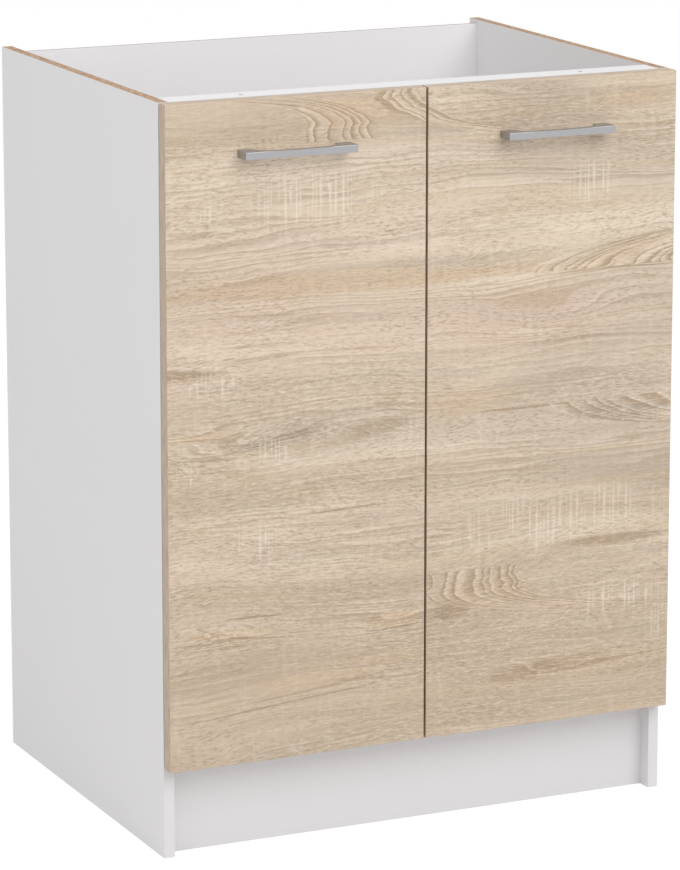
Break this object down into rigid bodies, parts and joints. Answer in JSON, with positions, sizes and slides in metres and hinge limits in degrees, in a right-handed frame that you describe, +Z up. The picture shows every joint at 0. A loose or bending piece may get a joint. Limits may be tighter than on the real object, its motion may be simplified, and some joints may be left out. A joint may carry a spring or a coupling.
{
  "type": "kitchen base cabinet",
  "caption": "Floor-standing kitchen base cabinet, open at the top for a worktop, with full-overlay doors on concealed hinges, bow handles, a plinth and an adjustable shelf.",
  "frame": {"origin": "bottom centre of the whole cabinet's bounding box, handles included, on the floor", "axes": "+Z up, +X to the right as one faces the doors, +Y towards the wall behind"},
  "size_m": [0.6, 0.5, 0.816],
  "materials": {
    "white_board": "white melamine-faced chipboard, fine satin texture",
    "white_band": "white edge band, satin",
    "white_hardboard": "thin hardboard, painted white, matte",
    "oak_decor": "light oak decor with horizontal grain, fine matte texture",
    "oak_band": "light oak edge band, satin",
    "satin_metal": "satin silver grey",
    "hinge_steel": "nickel plated, semi-bright",
    "fastener_steel": "zinc plated",
    "cam_metal": "die-cast zinc alloy, dull",
    "dowel_wood": "raw beech",
    "soft_bumper": "clear soft plastic dots"
  },
  "bodies": {
    "carcass": {"side_panel_left": "white_board", "side_panel_right": "white_board", "side_bands": "white_band", "bottom_panel": "white_board", "front_rail": "white_board", "rear_rail": "white_board", "plinth_board": "white_board", "back_panel": "white_hardboard", "back_nails": "fastener_steel", "shelf": "white_board", "shelf_pins": "fastener_steel", "deck_bands": "white_band", "cam_locks": "cam_metal", "cam_bolts": "fastener_steel", "wood_dowels": "dowel_wood", "plate_screws": "fastener_steel", "arm_screws": "fastener_steel", "arm_pins_left": "hinge_steel", "hinge_arm_left_lower": "hinge_steel", "hinge_plate_left_lower": "hinge_steel", "hinge_arm_left_upper": "hinge_steel", "hinge_plate_left_upper": "hinge_steel", "arm_pins_right": "hinge_steel", "hinge_arm_right_lower": "hinge_steel", "hinge_plate_right_lower": "hinge_steel", "hinge_arm_right_upper": "hinge_steel", "hinge_plate_right_upper": "hinge_steel"},
    "door_left": {"door_left": "oak_decor", "door_bands_left": "oak_band", "door_bumpers_left": "soft_bumper", "handle_left": "satin_metal", "handle_screws_left": "fastener_steel", "cup_screws_left": "fastener_steel", "cup_pins_left": "hinge_steel", "hinge_cup_left_lower": "hinge_steel", "hinge_cup_left_upper": "hinge_steel"},
    "outer_links_left": {"outer_link_left_lower": "hinge_steel", "outer_link_left_upper": "hinge_steel"},
    "inner_links_left": {"inner_link_left_lower": "hinge_steel", "inner_link_left_upper": "hinge_steel"},
    "door_right": {"door_right": "oak_decor", "door_bands_right": "oak_band", "door_bumpers_right": "soft_bumper", "handle_right": "satin_metal", "handle_screws_right": "fastener_steel", "cup_screws_right": "fastener_steel", "cup_pins_right": "hinge_steel", "hinge_cup_right_lower": "hinge_steel", "hinge_cup_right_upper": "hinge_steel"},
    "outer_links_right": {"outer_link_right_lower": "hinge_steel", "outer_link_right_upper": "hinge_steel"},
    "inner_links_right": {"inner_link_right_lower": "hinge_steel", "inner_link_right_upper": "hinge_steel"}
  },
  "joints": [
    {"name": "outer_links_left_turn", "type": "hinge", "parent": "carcass", "child": "outer_links_left", "pos_m": [-0.272, -0.216, 0.2], "axis": [0, 0, 1], "range_deg": [0, 25.2]},
    {"name": "door_left_swing", "type": "hinge", "parent": "outer_links_left", "child": "door_left", "pos_m": [-0.2895, -0.221, 0.2], "axis": [0, 0, -1], "range_deg": [0, 120.17]},
    {"name": "inner_links_left_turn", "type": "hinge", "parent": "carcass", "child": "inner_links_left", "pos_m": [-0.258, -0.2, 0.2], "axis": [0, 0, 1], "range_deg": [0, 26.2]},
    {"name": "outer_links_right_turn", "type": "hinge", "parent": "carcass", "child": "outer_links_right", "pos_m": [0.272, -0.216, 0.2], "axis": [0, 0, -1], "range_deg": [0, 25.2]},
    {"name": "door_right_swing", "type": "hinge", "parent": "outer_links_right", "child": "door_right", "pos_m": [0.2895, -0.221, 0.2], "axis": [0, 0, 1], "range_deg": [0, 120.17]},
    {"name": "inner_links_right_turn", "type": "hinge", "parent": "carcass", "child": "inner_links_right", "pos_m": [0.258, -0.2, 0.2], "axis": [0, 0, -1], "range_deg": [0, 26.2]}
  ],
  "couplings": [
    {"joint": "outer_links_left_turn", "follows": "door_left_swing", "ratio": 0.20949},
    {"joint": "inner_links_left_turn", "follows": "door_left_swing", "ratio": 0.21739},
    {"joint": "outer_links_right_turn", "follows": "door_right_swing", "ratio": 0.20949},
    {"joint": "inner_links_right_turn", "follows": "door_right_swing", "ratio": 0.21739}
  ]
}
